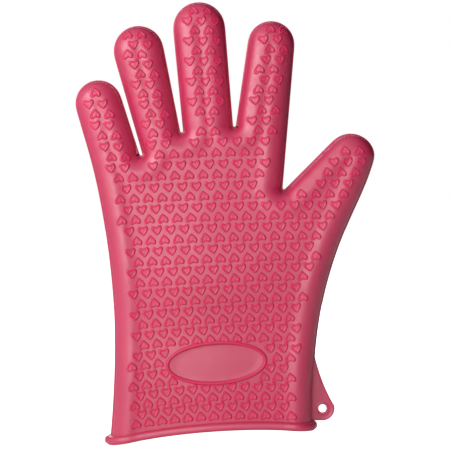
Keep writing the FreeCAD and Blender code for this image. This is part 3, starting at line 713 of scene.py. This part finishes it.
def lattice_hearts(points, fingers):
    """Hearts of the palm and cuff: (x, z), upright or not, slope of their row."""
    thumb, index = fingers[-1], fingers[-2]
    crotch = web_circle(index, thumb)[0]
    webs = [(web_circle(a, b)[0] - [0, WEB_RADIUS], WEBS[a.name][2] * MM)
            for a, b in zip(fingers, fingers[1:])]
    highest = points[:, 1].argmax()
    left_side, right_side = points[:highest], points[::-1][:len(points) - highest]
    hearts = []
    level = LATTICE_TOP
    for pair in range(PAIR_ROWS):
        drop = PAIR_PITCH - PAIR_PITCH_LOSS * pair
        for upright in (True, False):
            row = level if upright else level - INVERTED_SHARE * drop
            slope = np.interp(row, SLOPE_LEVELS, SLOPES)
            arch = np.interp(row, ARCH_LEVELS, ARCHES)
            pitch = COLUMN_PITCH + COLUMN_PITCH_GAIN * row
            for column in range(-COLUMNS, COLUMNS + 2):
                x = COLUMN_X + COLUMN_LEAN * row + pitch * (column + (0 if upright else 0.5))
                heart = np.array([x, row + slope * x - arch * x * x])
                left = np.interp(heart[1], *left_side[:, ::-1].T) + INDEX_MARGIN
                right = np.interp(heart[1], *right_side[:, ::-1].T) - SIDE_MARGIN
                if heart[1] > crotch[1]:
                    right = crotch[0] - INDEX_MARGIN
                clear = all(np.linalg.norm(heart - web) > margin for web, margin in webs)
                climbs = fingers[0].reach(heart) > -LITTLE_FINGER_MARGIN and x < webs[0][0][0]
                if left < x < right and clear and not climbs:
                    hearts.append((heart, upright, math.atan(slope)))
        level -= drop
    return hearts


def finger_hearts(finger):
    """Hearts of one finger's rows, in the same form."""
    first, pitch, rows = FINGER_ROWS[finger.name]
    top = finger.centre[1] + finger.radius
    hearts = []
    for row, (shift, count) in enumerate(rows):
        level = top - (first + pitch * (row // 2 + row % 2 * (1 - INVERTED_SHARE))) * MM
        axis_x = finger.centre[0] - (finger.centre[1] - level) * finger.along[0] / finger.along[1]
        for index in range(count):
            x = axis_x + shift * MM + FINGER_HEART_PITCH * (index - (count - 1) / 2)
            hearts.append((np.array([x, level]), row % 2 == 1, FINGER_ROW_SLOPE))
    return hearts


def rim_part(skin):
    """The oval rim as closed rings of points laid on the front skin."""
    flat_points = np.vstack([skin.rim.ring(inward * MM) for inward, height in RIM_SECTION])
    heights = np.repeat([height for inward, height in RIM_SECTION], RIM_POINTS) * MM
    faces = closed_ring_faces(len(RIM_SECTION), RIM_POINTS)
    # The rim's raised rings carry painted ridge light, more of it the higher they stand.
    return part(laid(flat_points, heights, skin.depth, True), faces, np.clip(heights / MM, 0, 1))


# -------- pieces

def vertex_normals(points, faces):
    """Smooth unit normals, weighted by the faces' areas."""
    normals = np.zeros_like(points)
    for size in {len(face) for face in faces}:
        corners = np.array([face for face in faces if len(face) == size])
        a, b, c = points[corners[:, 0]], points[corners[:, 1]], points[corners[:, 2]]
        across = np.cross(b - a, c - a) if size == 3 else np.cross(c - a, points[corners[:, 3]] - b)
        for column in range(size):
            np.add.at(normals, corners[:, column], across)
    lengths = np.linalg.norm(normals, axis=1)[:, None]
    return normals / np.maximum(lengths, 1e-15)


def part(points, faces, richness):
    """A closed part of a piece: points, faces, smooth normals, and each point's share of the painted ridge light.
    """
    return points, faces, vertex_normals(points, faces), np.broadcast_to(richness, len(points))


def make_piece(name, parts, material):
    """One mesh of all the parts, with their normals kept and their painted ridge light as an attribute."""
    starts = np.cumsum([0] + [len(points) for points, *_ in parts])
    faces = [tuple(corner + start for corner in face) for start, (_, part_faces, _, _) in zip(starts, parts)
             for face in part_faces]
    points, normals = (np.vstack([member[column] for member in parts]) for column in (0, 2))
    mesh = bpy.data.meshes.new(name)
    mesh.from_pydata(points.tolist(), [], faces)
    mesh.shade_smooth()
    mesh.normals_split_custom_set_from_vertices(normals.tolist())
    # Each point's share of the painted ridge light: a brighter, richer, less shiny pink.
    richness = mesh.attributes.new("richness", "FLOAT", "POINT")
    richness.data.foreach_set("value", np.concatenate([member[3] for member in parts]).astype(np.float32))
    mesh.materials.append(material)
    piece = bpy.data.objects.new(name, mesh)
    bpy.context.scene.collection.objects.link(piece)
    return piece


class PieceMap:
    """Tells which piece of the skin an (x, z) point belongs to."""

    def __init__(self, fingers, wrist_cut):
        self.fingers = fingers
        self.wrist_cut = wrist_cut

    def at(self, point):
        finger = min(self.fingers, key=lambda finger: finger.beyond(point))
        reach, offset = finger.reach(point), finger.offset(point)
        spare = SPARE + SPARE_GAIN * smooth(reach, *SPARE_RISE)
        if (finger is self.fingers[0] and offset < 0) or (finger in self.fingers[-2:] and offset > 0):
            spare = OUTER_SPARE
        if reach > 0 and finger.beyond(point) < spare:
            zone = sum(reach > cut for cut in finger.cuts())
            return f"{finger.name}_{finger.words[zone]}_skin"
        return "palm_skin" if point[1] > self.wrist_cut else "cuff_skin"


def cut_skin(mesh, vertices, piece_map):
    """Sorts the skin's faces into pieces and closes each one with its hollow and its cut edges."""
    groups = {}
    for face in mesh.faces():
        middle = vertices[list(face)][:, [0, 2]].mean(axis=0)
        groups.setdefault(piece_map.at(middle), []).append(face)
    closed = {}
    for name, members in groups.items():
        half_edges = {(a, b) for face in members for a, b in zip(face, face[1:] + face[:1])}
        open_edges = [(a, b) for a, b in half_edges if (b, a) not in half_edges]
        rims = [(b, a, a + mesh.half, b + mesh.half) for a, b in sorted(open_edges)]
        closed[name] = members + [mesh.behind(face) for face in members] + rims
    return closed


def compact(vertices, faces, normals):
    """Keeps only the vertices the faces use."""
    used = sorted({corner for face in faces for corner in face})
    place = {old: new for new, old in enumerate(used)}
    faces = [tuple(place[corner] for corner in face) for face in faces]
    return vertices[used], faces, normals[used], np.zeros(len(used))


def lip_part(loop, bottom):
    """Rolled bead swept round the cuff's opening, along the skin's bottom edge."""
    loop = loop[:, :2]
    along = np.roll(loop, -3, axis=0) - np.roll(loop, 3, axis=0)
    along /= np.linalg.norm(along, axis=1)[:, None]
    outward = np.column_stack([along[:, 1], -along[:, 0]])
    levels = bottom(loop[:, 0])
    rings = [np.column_stack([loop + outward * out * MM, levels + up * MM]) for out, up in LIP_SECTION]
    return part(np.vstack(rings), closed_ring_faces(len(rings), len(loop)), 0)


def even_loop(points, step):
    """A closed loop with even spacing."""
    closed = np.vstack([points, points[:1]])
    lengths = np.concatenate([[0], np.cumsum(np.linalg.norm(np.diff(closed, axis=0), axis=1))])
    places = np.linspace(0, lengths[-1], round(lengths[-1] / step), endpoint=False)
    return np.column_stack([np.interp(places, lengths, closed[:, axis]) for axis in range(closed.shape[1])])


# -------- hanging tab

def tab_outline(box_low, box_high, hole, end_radius):
    """Counter-clockwise (x, z) outline: straight root inside the cuff, round end, hollow outer edge."""
    root_x = box_low[0] - TAB_ROOT_INSET
    top = np.array([root_x, box_high[2] + TAB_TOP_RAISE])
    touch = hole + end_radius * np.array([math.cos(TAB_TOUCH_ANGLE), math.sin(TAB_TOUCH_ANGLE)])
    middle = (top + touch) / 2 - TAB_PULL
    angles = np.linspace(-math.pi / 2, TAB_TOUCH_ANGLE, 26)
    end = hole + end_radius * np.column_stack([np.cos(angles), np.sin(angles)])
    shares = np.linspace(0, 1, 24)[1:, None]
    edge = touch * (1 - shares) ** 2 + 2 * middle * shares * (1 - shares) + top * shares**2
    corner = np.array([[root_x, hole[1] - end_radius]])
    return even_loop(np.vstack([corner, end, edge]), TAB_STEP)


def tab_rows(outline, hole, hole_radius):
    """The border's rows inward from the outline, which narrow near the root, and round the hole."""
    along = np.roll(outline, -1, axis=0) - np.roll(outline, 1, axis=0)
    along /= np.linalg.norm(along, axis=1)[:, None]
    inward = np.column_stack([-along[:, 1], along[:, 0]])
    x, z = outline.T
    room = np.array([np.abs(x[np.abs(z - level) < 2 * MM] - place).max() for place, level in outline])
    room = np.minimum(room, 2 * (x - x.min()))
    share = np.clip(room / TAB_FULL_BORDER_ROOM, 0.02, 1)[:, None]
    angles = np.linspace(0, -2 * math.pi, TAB_HOLE_POINTS, endpoint=False)
    ring = np.column_stack([np.cos(angles), np.sin(angles)])
    outer_rows = [outline + inward * share * inset * MM for inset, height in TAB_ROWS]
    hole_rows = [hole + ring * (hole_radius + inset * MM) for inset, height in TAB_ROWS]
    return outer_rows, hole_rows


def tab_mesh(outline, hole, hole_radius):
    """Plate with a raised border along its outline and round its hole."""
    outer_rows, hole_rows = tab_rows(outline, hole, hole_radius)
    rows, count = len(TAB_ROWS), len(outline)
    points = [(x, -height * MM, z) for group in (outer_rows, hole_rows)
              for row, (inset, height) in zip(group, TAB_ROWS) for x, z in row]
    faces = ring_faces(rows, count, 0) + ring_faces(rows, TAB_HOLE_POINTS, rows * count)
    # Triangles fill the plate between the innermost rows, all but the hole.
    places = list(range((rows - 1) * count, rows * count))
    places += range(len(points) - TAB_HOLE_POINTS, len(points))
    inner = [Vector(point) for point in (*outer_rows[-1], *hole_rows[-1])]
    edges = [(i, (i + 1) % count) for i in range(count)]
    edges += [(count + i, count + (i + 1) % TAB_HOLE_POINTS) for i in range(TAB_HOLE_POINTS)]
    filled = geometry.delaunay_2d_cdt(inner, edges, [], 1, 1e-7)
    for triangle in filled[2]:
        corners = [filled[3][corner][0] for corner in triangle]
        a, b, c = [np.array(inner[corner]) for corner in corners]
        if np.linalg.norm((a + b + c) / 3 - hole) < hole_radius + TAB_ROWS[-1][0] * MM:
            continue
        if (b[0] - a[0]) * (c[1] - a[1]) - (b[1] - a[1]) * (c[0] - a[0]) < 0:
            corners.reverse()
        faces.append(tuple(places[corner] for corner in corners))
    return mirror_closed(np.array(points), faces)


def mirror_closed(points, faces):
    """Adds the mirrored back half. Points on the middle plane are shared."""
    on_plane = np.abs(points[:, 1]) < 1e-9
    back = points[~on_plane] * [1, -1, 1]
    place = np.arange(len(points))
    place[~on_plane] = len(points) + np.arange(len(back))
    mirrored = [tuple(int(place[corner]) for corner in face[::-1]) for face in faces]
    return np.vstack([points, back]), list(faces) + mirrored


# -------- material, lights, camera

def set_inputs(tree, node, values):
    """Sets a node's inputs to values, or links them to other nodes' outputs."""
    for name, value in values.items():
        if isinstance(value, bpy.types.NodeSocket):
            tree.links.new(value, node.inputs[name])
        else:
            node.inputs[name].default_value = value
    return node


def new_material(name):
    material = bpy.data.materials.new(name)
    material.use_nodes = True
    return material, material.node_tree, material.node_tree.nodes["Principled BSDF"]


def silicone():
    """Pink silicone with a cloudy tint and a fine grain. A per-point attribute paints light on the
    ridges: a brighter, richer and less shiny pink there."""
    material, tree, shader = new_material("pink_silicone")
    place = tree.nodes.new("ShaderNodeTexCoord").outputs["Object"]
    richness = tree.nodes.new("ShaderNodeAttribute")
    richness.attribute_name = "richness"

    def noise(scale, detail):
        inputs = {"Vector": place, "Scale": scale, "Detail": detail}
        return set_inputs(tree, tree.nodes.new("ShaderNodeTexNoise"), inputs).outputs["Fac"]

    def spread(source, low, high):
        inputs = {"Value": source, "From Min": 0.3, "From Max": 0.7, "To Min": low, "To Max": high}
        return set_inputs(tree, tree.nodes.new("ShaderNodeMapRange"), inputs).outputs["Result"]

    def mixed(kind, low, high, factor):
        node = tree.nodes.new("ShaderNodeMix")
        node.data_type = kind
        return set_inputs(tree, node, {"Factor": factor, "A": low, "B": high}).outputs["Result"]

    patches = spread(noise(18, 3), 0, 1)
    # Painted light: the ridges get a brighter, richer pink than the plain skin, and less shine below.
    plain = mixed("RGBA", (0.60, 0.021, 0.096, 1), (0.66, 0.028, 0.116, 1), patches)
    ridge_lit_pink = mixed("RGBA", (0.72, 0.024, 0.104, 1), (0.78, 0.030, 0.122, 1), patches)
    grain = {"Strength": 0.06, "Distance": 0.0004, "Height": noise(900, 3)}
    set_inputs(tree, shader, {
        "Base Color": mixed("RGBA", plain, ridge_lit_pink, richness.outputs["Fac"]),
        "Specular IOR Level": mixed("FLOAT", 1.0, 0.35, richness.outputs["Fac"]),
        "IOR": 1.57,
        "Roughness": spread(noise(260, 4), 0.40, 0.50),
        "Subsurface Weight": 0.12,
        "Subsurface Radius": (1.0, 0.25, 0.3),
        "Subsurface Scale": 0.003,
        "Normal": set_inputs(tree, tree.nodes.new("ShaderNodeBump"), grain).outputs["Normal"],
    })
    return material


def pale(name, brightness):
    """Matt white that looks evenly lit to the camera and lights nothing itself."""
    material, tree, shader = new_material(name)
    grain = set_inputs(tree, tree.nodes.new("ShaderNodeTexNoise"), {"Scale": 40})
    range_inputs = {"Value": grain.outputs["Fac"], "To Min": brightness - 0.01, "To Max": brightness}
    shade = set_inputs(tree, tree.nodes.new("ShaderNodeMapRange"), range_inputs)
    set_inputs(tree, shader, {
        "Base Color": shade.outputs["Result"],
        "Roughness": 0.9,
        "Emission Color": (1, 1, 1, 1),
        "Emission Strength": tree.nodes.new("ShaderNodeLightPath").outputs["Is Camera Ray"],
    })
    return material


def area_light(name, place, target, size, power):
    light = bpy.data.lights.new(name, "AREA")
    light.shape = "DISK"
    light.size = size
    light.energy = power
    lamp = bpy.data.objects.new(name, light)
    lamp.location = place
    lamp.rotation_euler = (Vector(target) - Vector(place)).to_track_quat("-Z", "Y").to_euler()
    bpy.context.scene.collection.objects.link(lamp)


def make_world():
    """White to the camera. On the glove it is a soft light from the left that fades to the right."""
    world = bpy.data.worlds.new("studio")
    world.use_nodes = True
    tree = world.node_tree
    facing = tree.nodes.new("ShaderNodeVectorMath")
    facing.operation = "DOT_PRODUCT"
    facing.inputs[1].default_value = Vector(SOFT_LIGHT_FROM).normalized()
    tree.links.new(tree.nodes.new("ShaderNodeTexCoord").outputs["Generated"], facing.inputs[0])
    glow = tree.nodes.new("ShaderNodeMapRange")
    glow.interpolation_type = "SMOOTHSTEP"
    set_inputs(tree, glow, {
        "Value": facing.outputs["Value"], "From Min": -0.35, "From Max": 0.9,
        "To Min": SOFT_LIGHT_DARK, "To Max": SOFT_LIGHT_BRIGHT,
    })
    seen = set_inputs(tree, tree.nodes.new("ShaderNodeMix"), {
        "Factor": tree.nodes.new("ShaderNodeLightPath").outputs["Is Camera Ray"],
        "A": glow.outputs["Result"], "B": 1.0,
    })
    strength = {"Color": (1, 1, 1, 1), "Strength": seen.outputs["Result"]}
    set_inputs(tree, tree.nodes["Background"], strength)
    bpy.context.scene.world = world


def make_studio(low, high):
    middle = (low + high) / 2
    mesh = bpy.data.meshes.new("floor")
    reach, level = 30.0, low[2] - 0.0005
    corners = [(x * reach, y * reach, level) for x, y in ((-1, -1), (1, -1), (1, 1), (-1, 1))]
    mesh.from_pydata(corners, [], [(0, 1, 2, 3)])
    mesh.materials.append(pale("floor_paint", 0.9))
    floor = bpy.data.objects.new("floor", mesh)
    bpy.context.scene.collection.objects.link(floor)
    make_world()
    for name, (place, size, power) in LIGHTS.items():
        area_light(name, place, middle, size, power)
    bpy.context.scene.view_settings.view_transform = "Standard"


def make_camera(low, high):
    """Straight-on camera. The glove fills the picture's height with a small border."""
    middle = (low + high) / 2
    camera = bpy.data.cameras.new("camera")
    camera.lens = LENS
    camera.sensor_width = SENSOR
    shown = (high[2] - low[2]) * PICTURE_SHARE
    distance = shown * LENS / SENSOR
    eye = bpy.data.objects.new("camera", camera)
    eye.location = (middle[0], -distance, middle[2] - PICTURE_DROP * shown)
    eye.rotation_euler = (math.radians(90), 0, 0)
    bpy.context.scene.collection.objects.link(eye)
    bpy.context.scene.camera = eye


# -------- the glove's pieces

def skin_parts(mesh, piece_map):
    """Each skin piece's name and its first part."""
    vertices, outer = mesh.vertices(), mesh.faces()
    normals = vertex_normals(vertices, outer + [mesh.behind(face) for face in outer])
    groups = cut_skin(mesh, vertices, piece_map)
    return {name: [compact(vertices, group, normals)] for name, group in groups.items()}


def add_hearts(parts, outline, fingers, skin, piece_map):
    """Lays every heart on the front and on the back. The front keeps the oval plate clear."""
    hearts = lattice_hearts(outline, fingers)
    for finger in fingers:
        hearts += finger_hearts(finger)
    for centre, upright, slope in hearts:
        home = parts[piece_map.at(centre)]
        if skin.rim.ratio([centre], RIM_CLEARANCE)[0] > 1:
            home.append(heart_part(centre, upright, slope, skin.front, True))
        home.append(heart_part(centre, upright, slope, skin.depth, False))


def attach_finger(finger, pieces):
    """Bakes each piece of a finger in place and hides the CAD body and grips it stands for. The span
    about its joint is worked out, but the piece does not bend by it.
    """
    bodies = ["palm"] + [f"{finger.name}_{zone}" for zone in finger.zones]
    span = min(BLEND_SHARE * (finger.reaches[1] - finger.reaches[0]), BLEND_LIMIT)
    for number, word in enumerate(finger.words):
        piece = pieces[f"{finger.name}_{word}_skin"]
        reach = finger.reaches[number]
        start, end = reach - span, reach + span
        if number == 0:
            start, end = ROOT_BLEND_START, finger.cuts()[0] - ROOT_BLEND_CLEARANCE
        elif number == len(finger.words) - 1:
            end = reach + BLEND_LIMIT
        finger.place(start)
        finger.place(end)
        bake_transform(piece)
        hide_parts(bodies[number + 1], f"{bodies[number + 1]}_grips")


def attach_hand(pieces):
    """The palm rides on its body, and the cuff is baked in place."""
    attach(pieces["palm_skin"], "palm")
    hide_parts("palm_shell", "palm_grips_front", "palm_grips_back")
    cuff = pieces["cuff_skin"]
    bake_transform(cuff)
    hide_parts("cuff_shell", "cuff_lip", "label_rim", "cuff_grips_front", "cuff_grips_back")


def make_tab(material):
    """Hanging tab round the hole that the record gives, baked in place."""
    mount = next(mount for mount in frame["record"]["mounts"] if mount["name"] == "hanging_hole")
    hole = flat(mount["pos_m"])
    low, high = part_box("hanging_tab")
    shape = tab_outline(low, high, hole, high[0] - hole[0])
    points, faces = tab_mesh(shape, hole, mount["dims"]["r_mm"] * MM)
    tab = make_piece("hanging_tab_skin", [part(points, faces, 0)], material)
    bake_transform(tab)
    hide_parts("hanging_tab")


def make_glove():
    """Every piece of the glove. Only the palm is fixed to a body; the rest are baked in place."""
    fingers = [Finger(name) for name in FINGERS]
    bottom = bottom_edge()
    outline, webness = make_outline(fingers, bottom)
    widths = FLANGE_WIDTH + (WEB_FLANGE_WIDTH - FLANGE_WIDTH) * webness
    details = ("label_rim", "cuff_lip", "hanging_tab")
    shells = [name for name in frame["nodes"] if "grips" not in name and name not in details]
    skin = Skin(outline, widths, Slices(shells), OvalRim())
    mesh = SkinMesh(outline, widths, skin, bottom)
    wrist = joint_named("wrist_flex")["pos_m"][2]
    piece_map = PieceMap(fingers, wrist + WRIST_CUT_RAISE)
    parts = skin_parts(mesh, piece_map)
    add_hearts(parts, outline, fingers, skin, piece_map)
    opening = even_loop(mesh.vertices()[mesh.bottom_loop], LIP_STEP)
    parts["cuff_skin"] += [rim_part(skin), lip_part(opening, bottom)]
    material = silicone()
    pieces = {name: make_piece(name, members, material) for name, members in parts.items()}
    for finger in fingers:
        attach_finger(finger, pieces)
    attach_hand(pieces)
    make_tab(material)


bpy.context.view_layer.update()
make_glove()
visual_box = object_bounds()
make_studio(*visual_box)
make_camera(*visual_box)
